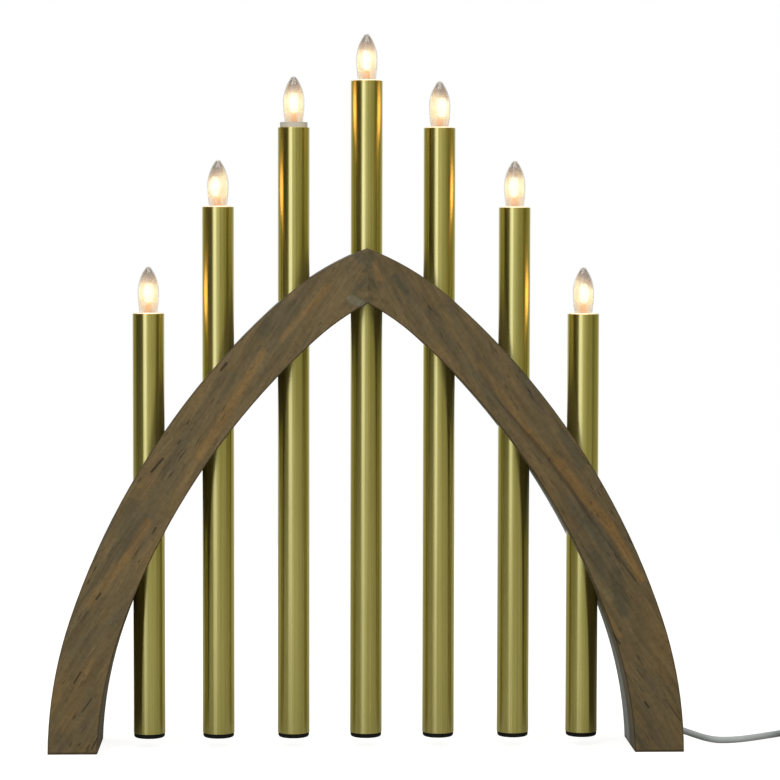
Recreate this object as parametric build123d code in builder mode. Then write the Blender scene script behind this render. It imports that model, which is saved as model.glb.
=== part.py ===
from build123d import *
import math
import os

# A pointed wooden arch carries seven upright brass tubes, each with an electric candle lamp
# in its top. Sizes are in millimetres, +Z is up. The origin is on the floor under the middle
# of the arch, the front faces -Y and the right half is at +X.

# The arch: a front and a rear layer of boards, each cut in a left and a right half.
half_span = 239.0
apex_height = 378.5
board_thickness = 34.0
foot_width = 37.0
rail_width = 38.75
apex_drop = 41.0
outer_foot_lean = 0.5
inner_foot_lean = 2.2
# Where the arcs of the outer edge meet, as shares of half_span and of apex_height.
low_knot_shares = (0.929, 0.267)
high_knot_shares = (0.269, 0.897)
arris = 0.8

# The brass tubes, pair by pair from the middle outwards.
tube_radius = 12.0
tube_wall = 1.0
tube_foot_height = 10.6
tube_hole_clearance = 0.15
inner_pair_reach = 55.0
middle_pair_reach = 112.0
outer_pair_reach = 164.5
centre_tube_top = 504.2
inner_pair_top = 469.0
middle_pair_top = 409.3
outer_pair_top = 329.0

# The caps under the tubes.
cap_flange_inset = 0.3
cap_flange_height = 3.4
cap_edge_radius = 1.7
cap_spigot_length = 9.0
cap_spigot_clearance = 0.4
cap_rib_clearance = 0.1
cap_rib_height = 1.2
cap_rib_count = 2

# The lamp holders. The third one has slid up in its tube.
holder_rise = 0.8
third_holder_rise = 4.0
holder_collar_radius = 10.4
holder_collar_height = 5.5
holder_body_radius = 9.2
holder_depth = 23.0
holder_rib_width = 1.6
holder_rib_clearance = 0.1
holder_rib_count = 4
holder_recess_clearance = 0.8
holder_recess_depth = 5.0
shell_contact_wall = 0.35
shell_contact_clearance = 0.05
shell_contact_lip = 1.2
centre_contact_radius = 2.6
centre_contact_height = 0.6
centre_tail_radius = 0.9
centre_tail_length = 3.0

# The candle lamps, measured from the top of their holder.
glass_height = 34.7
glass_shoulder_radius = 2.3
glass_shoulder_height = 33.4
glass_belly_radius = 8.1
glass_belly_height = 15.5
glass_mouth_radius = 6.8
glass_neck_radius = 4.2
glass_neck_drop = 4.4
glass_wall = 0.5
screw_radius = 4.65
screw_clearance = 0.3
screw_length = 8.4
screw_tip_radius = 3.0
screw_tip_taper = 1.3
lamp_contact_radius = 2.0
lamp_contact_height = 0.9
lamp_contact_clearance = 0.1
spring_gap = 0.3
filament_foot_radius = 3.2
filament_foot_height = 12.6
filament_stem_radius = 0.45
filament_strip_radius = 0.85
filament_strip_start = 10.0
filament_strip_end = 23.5
filament_top_length = 1.6

# The routed way for the wires, on the glued face of the rear layer.
channel_width = 7.0
channel_depth = 6.2
knee_height = 60.0
wire_radius = 0.85
wire_spread = 3.0
link_wire_inset = 1.7
return_wire_inset = 4.5
wire_bend_radius = 1.5
wire_sides = 6

# The mains cord and the bush that it comes out of.
cord_diameter = 5.0
cord_sides = 10
gland_exit_inset = 1.8
gland_height = 11.6
gland_tilt = 18.0
gland_body_radius = 4.0
gland_body_length = 10.0
gland_flange_radius = 5.5
gland_flange_thickness = 1.6
gland_clearance = 0.1
cut_overrun = 5.0

# The hand-chosen points of the cord from the bush to the coil, along the floor.
cord_points = [
    (237.2, 3.1, 11.6),
    (245.284, 3.1, 8.973),
    (253.6, 2.4, 6.1),
    (262.0, 1.3, 3.7),
    (270.2, 0.7, 2.6),
    (278.6, 1.3, 2.5),
    (286.6, 3.9, 2.5),
    (295.5, 9.2, 2.5),
    (307.5, 17.6, 2.5),
    (320.5, 27.4, 2.5),
    (333.23, 37.3, 2.5),
    (342.32, 42.551, 2.5),
]

# The coil that the rest of the cord is put away in: four layers of loops that spiral in and out.
coil_centre = (364.0, 15.0)
coil_outer_radius = 34.7
coil_pitch = 5.6
coil_rise = 5.6
coil_start_angle = 120.0
coil_sweeps = 4
coil_sweep_quarters = 9
quarters_per_turn = 4

# The hand-chosen points of the cord from the coil down to the plug.
tail_points = [
    (350.98, 47.551, 19.3),
    (360.2, 52.874, 19.3),
    (371.8, 57.9, 17.3),
    (384.2, 59.9, 13.6),
    (396.2, 57.6, 10.1),
    (406.4, 50.7, 7.6),
    (413.2, 40.8, 6.9),
    (416.7, 29.6, 6.9),
]

# The plug at the end of the cord.
plug_thickness = 13.8
plug_face_width = 35.3
plug_neck_width = 16.0
plug_corner_inset = 0.4
plug_taper_length = 17.0
plug_block_length = 5.0
plug_relief_start_radius = 3.4
plug_relief_end_radius = 4.8
plug_relief_length = 14.0
plug_relief_groove = 0.7
plug_relief_groove_count = 3
plug_pin_radius = 2.0
plug_pin_length = 19.0
plug_pin_spacing = 18.6
plug_pin_edge = 0.7

tube_places = [
    (-outer_pair_reach, outer_pair_top, holder_rise),
    (-middle_pair_reach, middle_pair_top, holder_rise),
    (-inner_pair_reach, inner_pair_top, third_holder_rise),
    (0, centre_tube_top, holder_rise),
    (inner_pair_reach, inner_pair_top, holder_rise),
    (middle_pair_reach, middle_pair_top, holder_rise),
    (outer_pair_reach, outer_pair_top, holder_rise),
]
tube_bore_radius = tube_radius - tube_wall

os.makedirs("parts", exist_ok=True)


def save(piece, name):
    """Label a finished piece and write its STEP file."""
    piece.part.label = name
    export_step(piece.part, f"parts/{name}.step")


def upright_plane(across, height):
    """A front-facing plane whose origin is on a tube's axis, local X across and local Y up."""
    return Plane(origin=(across, 0, height), x_dir=(1, 0, 0), z_dir=(0, -1, 0))


def rail_outline(side):
    """Front outline of one half of the arch: three tangent arcs outside and three inside."""
    outer_lean = math.radians(outer_foot_lean)
    inner_lean = math.radians(inner_foot_lean)
    low_knot = Vector(side * half_span * low_knot_shares[0], apex_height * low_knot_shares[1])
    high_knot = Vector(side * half_span * high_knot_shares[0], apex_height * high_knot_shares[1])
    with BuildSketch() as rail:
        with BuildLine():
            outer_foot = Vector(side * half_span, 0)
            outer_way = (-side * math.sin(outer_lean), math.cos(outer_lean))
            outer_low = TangentArc(outer_foot, low_knot, tangent=outer_way)
            outer_mid = TangentArc(low_knot, high_knot, tangent=outer_low % 1)
            apex = Vector(0, apex_height)
            TangentArc(high_knot, apex, tangent=outer_mid % 1)
            low_way = outer_low % 1
            high_way = outer_mid % 1
            inner_low_knot = low_knot + rail_width * side * Vector(-low_way.Y, low_way.X)
            inner_high_knot = high_knot + rail_width * side * Vector(-high_way.Y, high_way.X)
            inner_foot = Vector(side * (half_span - foot_width), 0)
            inner_way = (-side * math.sin(inner_lean), math.cos(inner_lean))
            inner_low = TangentArc(inner_foot, inner_low_knot, tangent=inner_way)
            inner_mid = TangentArc(inner_low_knot, inner_high_knot, tangent=inner_low % 1)
            under_apex = Vector(0, apex_height - apex_drop)
            TangentArc(inner_high_knot, under_apex, tangent=inner_mid % 1)
            Line(under_apex, apex)
            Line(inner_foot, outer_foot)
        make_face()
    return rail.sketch


left_outline = rail_outline(-1)
right_outline = rail_outline(1)


def wood_middle(start, end):
    """Middle of the wood that a straight line meets in the right half."""
    inside = right_outline.face().intersect(Edge.make_line(start, end))
    return inside.edges()[0] @ 0.5


def tube_crossing(across):
    """Place across and up the arch where the wires' way meets a tube's axis."""
    if across == 0:
        return Vector(0, apex_height - apex_drop / 2)
    height = wood_middle((abs(across), 0), (abs(across), apex_height)).Y
    return Vector(across, height)


crossings = [tube_crossing(across) for across, top, rise in tube_places]
leg_knee = wood_middle((0, knee_height), (half_span, knee_height))
gland_inset = channel_depth / 2
gland_slope = math.radians(gland_tilt)
gland_plane = Plane(
    origin=(half_span - gland_exit_inset, gland_inset, gland_height),
    x_dir=(0, 1, 0),
    z_dir=(math.cos(gland_slope), 0, -math.sin(gland_slope)),
)
well_depth = (foot_width / 2 - gland_exit_inset) / math.cos(gland_slope)
gland_well = Vector(half_span - foot_width / 2, gland_height + well_depth * math.sin(gland_slope))
channel_points = crossings + [leg_knee, gland_well]


def channel_runs():
    """Straight router cuts from tube to tube and down the right leg."""
    for start, end in zip(channel_points, channel_points[1:]):
        run = end - start
        turn = math.degrees(math.atan2(run.Y, run.X))
        with Locations((start + end) / 2):
            SlotCenterToCenter(run.length, channel_width, rotation=turn)


def board(outline, front, name):
    """One quarter of the arch, with its share of the tube holes, wire way and cord hole."""
    face_plane = Plane.XZ.offset(board_thickness) if front else Plane.XZ
    with BuildPart() as piece:
        with BuildSketch(face_plane):
            add(outline)
        extrude(amount=-board_thickness)
        outer_face = piece.faces().sort_by(Axis.Y)[0 if front else -1]
        chamfer(outer_face.edges().filter_by(GeomType.CIRCLE), arris)
        with BuildSketch(Plane.XY):
            with Locations([(across, 0) for across, top, rise in tube_places]):
                Circle(tube_radius + tube_hole_clearance)
        extrude(amount=apex_height + cut_overrun, mode=Mode.SUBTRACT)
        if not front:
            with BuildSketch(Plane.XZ):
                channel_runs()
            extrude(amount=-channel_depth, mode=Mode.SUBTRACT)
        with BuildSketch(gland_plane.offset(-well_depth)):
            Circle(gland_body_radius + gland_clearance)
        extrude(amount=well_depth, mode=Mode.SUBTRACT)
        with BuildSketch(gland_plane.offset(-gland_flange_thickness)):
            Circle(gland_flange_radius + gland_clearance)
        extrude(amount=gland_flange_thickness + cut_overrun, mode=Mode.SUBTRACT)
    save(piece, name)


board(left_outline, True, "arch_front_left")
board(right_outline, True, "arch_front_right")
board(left_outline, False, "arch_rear_left")
board(right_outline, False, "arch_rear_right")


def candle_tube(number, across, top):
    """A brass tube with windows where the wires' way passes through it."""
    with BuildPart() as tube:
        with BuildSketch(Plane(origin=(across, 0, tube_foot_height))):
            Circle(tube_radius)
            Circle(tube_bore_radius, mode=Mode.SUBTRACT)
        extrude(amount=top - tube_foot_height)
        with BuildSketch(Plane.XZ):
            channel_runs()
        extrude(amount=-channel_depth, mode=Mode.SUBTRACT)
    save(tube, f"candle_tube_{number}")


def end_cap(number, across):
    """A soft cap with a rounded lower edge and a ribbed spigot that grips the tube."""
    flange_radius = tube_radius - cap_flange_inset
    spigot_radius = tube_bore_radius - cap_spigot_clearance
    rib_radius = tube_bore_radius - cap_rib_clearance
    rib_step = cap_spigot_length / cap_rib_count
    with BuildPart() as cap:
        with BuildSketch(Plane(origin=(across, 0, tube_foot_height - cap_flange_height))):
            Circle(flange_radius)
        extrude(amount=cap_flange_height)
        fillet(cap.faces().sort_by(Axis.Z)[0].edges(), cap_edge_radius)
        with BuildSketch(Plane(origin=(across, 0, tube_foot_height))):
            Circle(spigot_radius)
        extrude(amount=cap_spigot_length)
        for rib in range(cap_rib_count):
            rib_height = tube_foot_height + rib_step * (rib + 0.5) - cap_rib_height / 2
            with BuildSketch(Plane(origin=(across, 0, rib_height))):
                Circle(rib_radius)
            extrude(amount=cap_rib_height)
    save(cap, f"end_cap_{number}")


recess_radius = glass_mouth_radius + holder_recess_clearance
socket_radius = screw_radius + screw_clearance + shell_contact_wall + shell_contact_clearance
screw_bottom = -glass_neck_drop - screw_length
lamp_bottom = screw_bottom - lamp_contact_clearance - lamp_contact_height
spring_top = lamp_bottom - spring_gap
spring_seat = spring_top - centre_contact_height


def lamp_holder(number, across, seat):
    """The plastic body in the tube's top: collar, ribs, lamp recess and screw socket."""
    with BuildPart() as holder:
        with BuildSketch(upright_plane(across, seat)):
            with BuildLine():
                Polyline(
                    (recess_radius, 0),
                    (holder_collar_radius, 0),
                    (holder_collar_radius, -holder_collar_height),
                    (holder_body_radius, -holder_collar_height),
                    (holder_body_radius, -holder_depth),
                    (centre_tail_radius + shell_contact_clearance, -holder_depth),
                    (centre_tail_radius + shell_contact_clearance, spring_seat),
                    (socket_radius, spring_seat),
                    (socket_radius, -holder_recess_depth),
                    (recess_radius, -holder_recess_depth),
                    close=True,
                )
            make_face()
        revolve(axis=Axis((across, 0, seat), (0, 0, 1)))
        rib_reach = tube_bore_radius - holder_rib_clearance
        with BuildSketch(Plane(origin=(across, 0, seat - holder_depth))):
            with PolarLocations(0, holder_rib_count, start_angle=360 / holder_rib_count / 2):
                with Locations(((holder_body_radius + rib_reach - holder_rib_width) / 2, 0)):
                    Rectangle(rib_reach - holder_body_radius + holder_rib_width, holder_rib_width)
        extrude(amount=holder_depth - holder_collar_height)
    save(holder, f"lamp_holder_{number}")


def lamp_glass(number, across, seat):
    """The clear envelope: a rounded neck, a full belly and a flame-like tip, one even wall."""
    with BuildPart() as glass:
        with BuildSketch(upright_plane(across, seat)):
            with BuildLine():
                mouth = (glass_mouth_radius, 0)
                belly = (glass_belly_radius, glass_belly_height)
                neck = (glass_neck_radius, -glass_neck_drop)
                shoulder = (glass_shoulder_radius, glass_shoulder_height)
                lower = TangentArc(belly, mouth, tangent=(0, -1))
                TangentArc(mouth, neck, tangent=lower % 1)
                TangentArc(belly, shoulder, tangent=(0, 1))
                TangentArc((0, glass_height), shoulder, tangent=(1, 0))
                inner_mouth = (glass_mouth_radius - glass_wall, 0)
                inner_belly = (glass_belly_radius - glass_wall, glass_belly_height)
                inner_neck = (glass_neck_radius - glass_wall, -glass_neck_drop)
                tip_share = 1 - glass_wall / glass_shoulder_radius
                inner_tip = (0, glass_height - glass_wall)
                inner_drop = (glass_height - glass_shoulder_height) * tip_share
                inner_shoulder = (glass_shoulder_radius * tip_share, inner_tip[1] - inner_drop)
                inner_lower = TangentArc(inner_belly, inner_mouth, tangent=(0, -1))
                TangentArc(inner_mouth, inner_neck, tangent=inner_lower % 1)
                TangentArc(inner_belly, inner_shoulder, tangent=(0, 1))
                TangentArc(inner_tip, inner_shoulder, tangent=(1, 0))
                Line(inner_tip, (0, glass_height))
                Line(inner_neck, neck)
            make_face()
        revolve(axis=Axis((across, 0, seat), (0, 0, 1)))
    save(glass, f"bulb_glass_{number}")


def lamp_screw(number, across, seat):
    """The lamp's brass screw base, drawn in at the tip."""
    with BuildPart() as screw:
        with BuildSketch(upright_plane(across, seat)):
            with BuildLine():
                Polyline(
                    (0, -glass_neck_drop),
                    (screw_radius, -glass_neck_drop),
                    (screw_radius, screw_bottom + screw_tip_taper),
                    (screw_tip_radius, screw_bottom),
                    (0, screw_bottom),
                    close=True,
                )
            make_face()
        revolve(axis=Axis((across, 0, seat), (0, 0, 1)))
    save(screw, f"bulb_screw_{number}")


def lamp_filament(number, across, seat):
    """The glowing strip on its stem, standing on the screw base."""
    stem_top = filament_strip_end + filament_top_length
    with BuildPart() as filament:
        with BuildSketch(upright_plane(across, seat)):
            with BuildLine():
                Polyline(
                    (0, -glass_neck_drop),
                    (filament_foot_radius, -glass_neck_drop),
                    (filament_stem_radius, filament_foot_height - glass_neck_drop),
                    (filament_stem_radius, filament_strip_start),
                    (filament_strip_radius, filament_strip_start),
                    (filament_strip_radius, filament_strip_end),
                    (filament_stem_radius, filament_strip_end),
                    (filament_stem_radius, stem_top),
                    (0, stem_top),
                    close=True,
                )
            make_face()
        revolve(axis=Axis((across, 0, seat), (0, 0, 1)))
    save(filament, f"bulb_filament_{number}")


def lamp_contact(number, across, seat):
    """The contact under the screw base, which rises with the lamp."""
    with BuildPart() as contact:
        with BuildSketch(Plane(origin=(across, 0, seat + lamp_bottom))):
            Circle(lamp_contact_radius)
        extrude(amount=lamp_contact_height)
    save(contact, f"bulb_contact_{number}")


for tube_number, (tube_across, tube_top, rise) in enumerate(tube_places, start=1):
    holder_top = tube_top + rise
    candle_tube(tube_number, tube_across, tube_top)
    end_cap(tube_number, tube_across)
    lamp_holder(tube_number, tube_across, holder_top)
    lamp_glass(tube_number, tube_across, holder_top)
    lamp_screw(tube_number, tube_across, holder_top)
    lamp_filament(tube_number, tube_across, holder_top)
    lamp_contact(tube_number, tube_across, holder_top)

# The sprung metal in the seven holders: a sleeve for the screw and a centre contact on a tail.
sleeve_outer = socket_radius - shell_contact_clearance
sleeve_inner = sleeve_outer - shell_contact_wall
with BuildPart() as holder_contacts:
    for tube_across, tube_top, rise in tube_places:
        holder_top = tube_top + rise
        with BuildSketch(upright_plane(tube_across, holder_top)):
            with BuildLine():
                Polyline(
                    (sleeve_inner, -holder_recess_depth),
                    (sleeve_outer, -holder_recess_depth),
                    (sleeve_outer, spring_seat),
                    (sleeve_outer - shell_contact_lip, spring_seat),
                    (sleeve_outer - shell_contact_lip, spring_seat + shell_contact_wall),
                    (sleeve_inner, spring_seat + shell_contact_wall),
                    close=True,
                )
            make_face()
            with BuildLine():
                Polyline(
                    (0, spring_top),
                    (centre_contact_radius, spring_top),
                    (centre_contact_radius, spring_seat),
                    (centre_tail_radius, spring_seat),
                    (centre_tail_radius, spring_seat - centre_tail_length),
                    (0, spring_seat - centre_tail_length),
                    close=True,
                )
            make_face()
        revolve(axis=Axis((tube_across, 0, holder_top), (0, 0, 1)))
save(holder_contacts, "holder_contacts")


def on_way(across, start, end):
    """Height of the straight wire way between two places, at a place across the arch."""
    return start.Y + (end.Y - start.Y) * (across - start.X) / (end.X - start.X)


def wire_routes():
    """Each wire as its inset behind the glued face and its points across and up."""
    tails = [top + rise - holder_depth for across, top, rise in tube_places]
    for k in range(len(crossings) - 1):
        left = crossings[k]
        right = crossings[k + 1]
        up = left.X + wire_spread
        down = right.X - wire_spread
        yield link_wire_inset, [
            (up, tails[k]),
            (up, on_way(up, left, right)),
            (down, on_way(down, left, right)),
            (down, tails[k + 1]),
        ]
    last = crossings[-1]
    supply = last.X + wire_spread
    well = (gland_well.X, gland_well.Y)
    bush_back = gland_plane.origin - gland_plane.z_dir * (gland_flange_thickness + gland_body_length)
    back = (bush_back.X, bush_back.Z)
    yield link_wire_inset, [
        (supply, tails[-1]),
        (supply, on_way(supply, last, leg_knee)),
        (leg_knee.X, leg_knee.Y),
        well,
        back,
    ]
    first = crossings[0]
    start = first.X - wire_spread
    yield return_wire_inset, [
        (start, tails[0]),
        (start, on_way(start, first, crossings[1])),
        *[(place.X, place.Y) for place in crossings[1:]],
        (leg_knee.X, leg_knee.Y),
        well,
        back,
    ]


# The wires in series from holder to holder, and the wire back from the first to the cord.
with BuildPart() as internal_wiring:
    for inset, route in wire_routes():
        places = [(across, inset, height) for across, height in route]
        bends = [wire_bend_radius] * (len(places) - 2)
        with BuildLine() as wire_path:
            FilletPolyline(*places, radius=bends)
        wire_line = wire_path.wires()[0]
        with BuildSketch(Plane(origin=wire_line @ 0, z_dir=wire_line % 0)):
            RegularPolygon(wire_radius, wire_sides)
        sweep(path=wire_line)
save(internal_wiring, "internal_wiring")

# The bush in the right foot's side that grips the cord.
with BuildPart() as cord_gland:
    with BuildSketch(gland_plane):
        Circle(gland_flange_radius)
    extrude(amount=-gland_flange_thickness)
    with BuildSketch(gland_plane.offset(-gland_flange_thickness)):
        Circle(gland_body_radius)
    extrude(amount=-gland_body_length)
save(cord_gland, "cord_gland")


def cord_radii(points):
    """The largest arc that each corner's shorter run allows."""
    radii = []
    for before, corner, after in zip(points, points[1:], points[2:]):
        run_in = Vector(corner) - Vector(before)
        run_out = Vector(after) - Vector(corner)
        turn = math.radians(run_in.get_angle(run_out))
        radii.append(0.45 * min(run_in.length, run_out.length) / math.tan(turn / 2))
    return radii


# The cord's two free stretches: from the bush to the coil, and from the coil to the plug.
# Cord and wires have many-sided sections, which keeps their long bends light.
free_length = 0
with BuildPart() as mains_cord:
    for stretch in (cord_points, tail_points):
        radii = cord_radii(stretch)
        with BuildLine() as stretch_path:
            FilletPolyline(*stretch, radius=radii)
        stretch_line = stretch_path.wires()[0]
        with BuildSketch(Plane(origin=stretch_line @ 0, z_dir=stretch_line % 0)) as section:
            RegularPolygon(cord_diameter / 2, cord_sides)
        tube = sweep(path=stretch_line)
        tube_prism = section.sketch.area * stretch_line.length
        free_length += stretch_line.length
        print("cord radii", [round(radius) for radius in radii])
        print("cord volume over section times length", round(tube.volume / tube_prism, 4))
save(mains_cord, "mains_cord")


def coil_station(quarter):
    """Place and heading on the coil after a number of quarter turns, wound clockwise."""
    sweep_index, step = divmod(quarter, coil_sweep_quarters)
    inward = sweep_index % 2 == 0
    depth = step if inward else coil_sweep_quarters - step
    radius = coil_outer_radius - coil_pitch * depth / quarters_per_turn
    at_reversal = step == 0 and 0 < sweep_index < coil_sweeps
    level = sweep_index
    climb_slope = 0
    drift = -coil_pitch if inward else coil_pitch
    if at_reversal:
        level = sweep_index - 0.5
        climb_slope = coil_rise * quarters_per_turn
        drift = 0
    if quarter == coil_sweeps * coil_sweep_quarters:
        level = coil_sweeps - 1
        drift = 0
    if quarter == 0:
        drift = 0
    angle = math.radians(coil_start_angle - quarter * 360 / quarters_per_turn)
    outward = Vector(math.cos(angle), math.sin(angle), 0)
    onward = Vector(math.sin(angle), -math.cos(angle), 0)
    centre = Vector(coil_centre[0], coil_centre[1], cord_diameter / 2 + coil_rise * level)
    heading = onward * (2 * math.pi * radius) + outward * drift + Vector(0, 0, climb_slope)
    return centre + outward * radius, heading.normalized()


def biarc(start, start_way, end, end_way):
    """Two tangent arcs from one place and heading to another, inside a BuildLine."""
    chord = end - start
    ways = start_way + end_way
    spread = 2 * (1 - start_way.dot(end_way))
    along = chord.dot(ways)
    arm = (math.sqrt(along * along + spread * chord.dot(chord)) - along) / spread
    first_tip = start + start_way * arm
    second_tip = end - end_way * arm
    joint = (first_tip + second_tip) / 2
    TangentArc(start, joint, tangent=start_way)
    TangentArc(joint, end, tangent=second_tip - first_tip)


stations = [coil_station(quarter) for quarter in range(coil_sweeps * coil_sweep_quarters + 1)]
with BuildPart() as cord_coil:
    with BuildLine() as coil_path:
        first_place, first_way = stations[0]
        last_place, last_way = stations[-1]
        Line(first_place - first_way * cord_diameter, first_place)
        for (place, way), (next_place, next_way) in zip(stations, stations[1:]):
            biarc(place, way, next_place, next_way)
        Line(last_place, last_place + last_way * cord_diameter)
    coil_line = coil_path.wires()[0]
    with BuildSketch(Plane(origin=coil_line @ 0, z_dir=coil_line % 0)) as coil_section:
        RegularPolygon(cord_diameter / 2, cord_sides)
    sweep(path=coil_line)
save(cord_coil, "cord_coil")


def least_gap(line):
    """The least space between the coil's own turns, from points along its middle."""
    points_per_turn = 60
    turns = coil_sweeps * coil_sweep_quarters // quarters_per_turn
    count = points_per_turn * turns
    points = [line @ (index / count) for index in range(count + 1)]
    near = points_per_turn // 3
    gaps = [
        (points[first] - points[second]).length
        for first in range(count + 1)
        for second in range(first + near, count + 1)
    ]
    return min(gaps) - cord_diameter


print("coil ends", coil_line @ 0, coil_line @ 1)
print("coil gap to itself", round(least_gap(coil_line), 2))
coil_prism = coil_section.sketch.area * coil_line.length
print("coil volume over section times length", round(cord_coil.part.volume / coil_prism, 4))
print("cord length", round(free_length + coil_line.length))

# The plug lies flat at the end of the tail, its pins pointing on along the cord.
plug_way = (Vector(tail_points[-1]) - Vector(tail_points[-2])).normalized()
plug_plane = Plane(origin=tail_points[-1], x_dir=(-plug_way.Y, plug_way.X, 0), z_dir=plug_way)
with BuildPart() as plug_body:
    relief_plane = Plane(origin=plug_plane.origin, x_dir=plug_plane.x_dir, z_dir=plug_plane.y_dir)
    with BuildSketch(relief_plane):
        with BuildLine():
            groove_step = plug_relief_length / (2 * plug_relief_groove_count + 1)
            relief = [(0, 0), (plug_relief_start_radius, 0)]
            widening = (plug_relief_end_radius - plug_relief_start_radius) / plug_relief_length
            for groove in range(plug_relief_groove_count):
                for edge, cut in ((1, 0), (1, 1), (2, 1), (2, 0)):
                    along = groove_step * (2 * groove + edge)
                    reach = plug_relief_start_radius + widening * along - cut * plug_relief_groove
                    relief.append((reach, -along))
            relief.append((plug_relief_end_radius, -plug_relief_length))
            relief.append((0, -plug_relief_length))
            Polyline(*relief, close=True)
        make_face()
    revolve(axis=Axis(plug_plane.origin, plug_plane.z_dir))
    neck_plane = plug_plane.offset(plug_relief_length)
    face_plane = neck_plane.offset(plug_taper_length)
    plug_corner = plug_thickness / 2 - plug_corner_inset
    with BuildSketch(neck_plane):
        RectangleRounded(plug_neck_width, plug_thickness, plug_corner)
    with BuildSketch(face_plane):
        RectangleRounded(plug_face_width, plug_thickness, plug_corner)
    loft()
    with BuildSketch(face_plane):
        RectangleRounded(plug_face_width, plug_thickness, plug_corner)
    extrude(amount=plug_block_length)
save(plug_body, "plug_body")

pin_plane = face_plane.offset(plug_block_length)
with BuildPart() as plug_pins:
    with BuildSketch(pin_plane):
        with Locations((plug_pin_spacing / 2, 0), (-plug_pin_spacing / 2, 0)):
            Circle(plug_pin_radius)
    extrude(amount=plug_pin_length)
    tip_faces = plug_pins.faces().sort_by(Axis(pin_plane.origin, plug_way))[-2:]
    chamfer(tip_faces.edges(), plug_pin_edge)
save(plug_pins, "plug_pins")
print("plug pins start", pin_plane.origin, "heading", plug_way, "apart along", plug_plane.x_dir)
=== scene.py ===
# %% [markdown]
# # An electric candle arch
# A pointed arch of brown-stained wood carries seven upright brass tubes. Each tube ends in a
# small glowing candle lamp, and a grey mains cord leaves the right foot. The construction
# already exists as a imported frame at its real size. This lesson dresses it: it gives each part
# the finish of the real one, and replaces the few parts that need a finer surface.

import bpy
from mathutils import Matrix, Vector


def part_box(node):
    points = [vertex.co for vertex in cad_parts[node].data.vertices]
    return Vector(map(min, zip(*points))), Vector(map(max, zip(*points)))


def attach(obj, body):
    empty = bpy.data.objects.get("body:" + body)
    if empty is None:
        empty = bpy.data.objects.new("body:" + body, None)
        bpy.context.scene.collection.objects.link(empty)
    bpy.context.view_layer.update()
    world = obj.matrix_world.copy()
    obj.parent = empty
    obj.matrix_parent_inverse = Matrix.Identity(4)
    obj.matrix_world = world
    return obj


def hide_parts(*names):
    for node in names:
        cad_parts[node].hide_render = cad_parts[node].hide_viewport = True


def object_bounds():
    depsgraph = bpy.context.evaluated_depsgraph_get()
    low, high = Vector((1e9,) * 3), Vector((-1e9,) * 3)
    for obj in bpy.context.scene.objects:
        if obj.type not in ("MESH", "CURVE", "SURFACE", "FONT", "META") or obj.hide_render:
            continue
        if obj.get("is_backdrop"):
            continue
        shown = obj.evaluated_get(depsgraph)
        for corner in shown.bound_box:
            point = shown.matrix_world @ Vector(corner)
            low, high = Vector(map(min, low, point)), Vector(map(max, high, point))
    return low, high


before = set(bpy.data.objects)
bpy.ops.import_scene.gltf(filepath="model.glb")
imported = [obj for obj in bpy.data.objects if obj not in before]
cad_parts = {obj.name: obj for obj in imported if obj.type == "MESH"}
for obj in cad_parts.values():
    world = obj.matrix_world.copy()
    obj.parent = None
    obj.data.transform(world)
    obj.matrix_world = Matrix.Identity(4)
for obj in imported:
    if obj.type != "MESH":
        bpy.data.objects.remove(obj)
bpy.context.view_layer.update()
print("parts in the frame:", len(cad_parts))

# %% Bring in what the lesson works with
import math

import bmesh
import bpy
from mathutils import Euler, Matrix, Vector

millimetre = 0.001
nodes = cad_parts
lamp_numbers = range(1, 8)

# %% [markdown]
# ## The camera
# The photograph was taken from about two metres away, a little to the left and at the height
# of the arch's apex, through a long lens. A long lens keeps the seven tubes nearly parallel.
# The camera looks slightly down and to the right, so its pose is three small turns.

# %% Place the camera
camera_place = Vector((-0.0576, -2.1, 0.3833))
camera_yaw = 0.035945
camera_dip = 0.053295
camera_roll = 0.0019146
camera_lens = 128.19
sensor_width = 36.0

camera_data = bpy.data.cameras.new("photo_camera")
camera_data.sensor_width = sensor_width
camera_data.lens = camera_lens
camera = bpy.data.objects.new("photo_camera", camera_data)
aim = Euler((math.pi / 2 - camera_dip, 0, -camera_yaw)).to_matrix()
aim = aim @ Matrix.Rotation(camera_roll, 3, "Z")
camera.matrix_world = Matrix.Translation(camera_place) @ aim.to_4x4()
bpy.context.scene.collection.objects.link(camera)
bpy.context.scene.camera = camera
bpy.context.scene.view_settings.view_transform = "Standard"
print("camera", round(camera_place.length, 3), "m from the arch's origin")

# %% [markdown]
# ## Nodes without clutter
# Every finish below is a small network of shader nodes. A few helpers keep the recipes short:
# one starts a material, one adds a node and feeds its inputs from values or other nodes, and
# the rest give plain names to the nodes that come up most.

# %% Start a finish and add its nodes


def new_finish(name):
    """A material with its Principled shader."""
    finish = bpy.data.materials.new(name)
    finish.use_nodes = True
    tree = finish.node_tree
    return finish, tree, tree.nodes["Principled BSDF"]


def add_node(tree, kind, feeds=(), **settings):
    """A node with its settings; feeds maps an input to a value or to another node's output."""
    made = tree.nodes.new(kind)
    for setting, value in settings.items():
        setattr(made, setting, value)
    for socket, value in dict(feeds).items():
        if isinstance(value, bpy.types.NodeSocket):
            tree.links.new(value, made.inputs[socket])
        else:
            made.inputs[socket].default_value = value
    return made


print("finishes can be started")

# %% Shorten sums and ramps


def sums(tree, operation, first, second=0.0):
    """The output of one Math node."""
    return add_node(tree, "ShaderNodeMath", {0: first, 1: second}, operation=operation).outputs[0]


def ramp(tree, amount, stops, smooth=False):
    """The output of a colour ramp over (position, colour) stops."""
    made = add_node(tree, "ShaderNodeValToRGB", {"Fac": amount})
    if smooth:
        made.color_ramp.interpolation = "EASE"
    elements = made.color_ramp.elements
    while len(elements) < len(stops):
        elements.new(0.5)
    for element, (position, colour) in zip(elements, stops):
        element.position = position
        element.color = (*colour, 1.0)
    return made.outputs["Color"]


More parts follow.
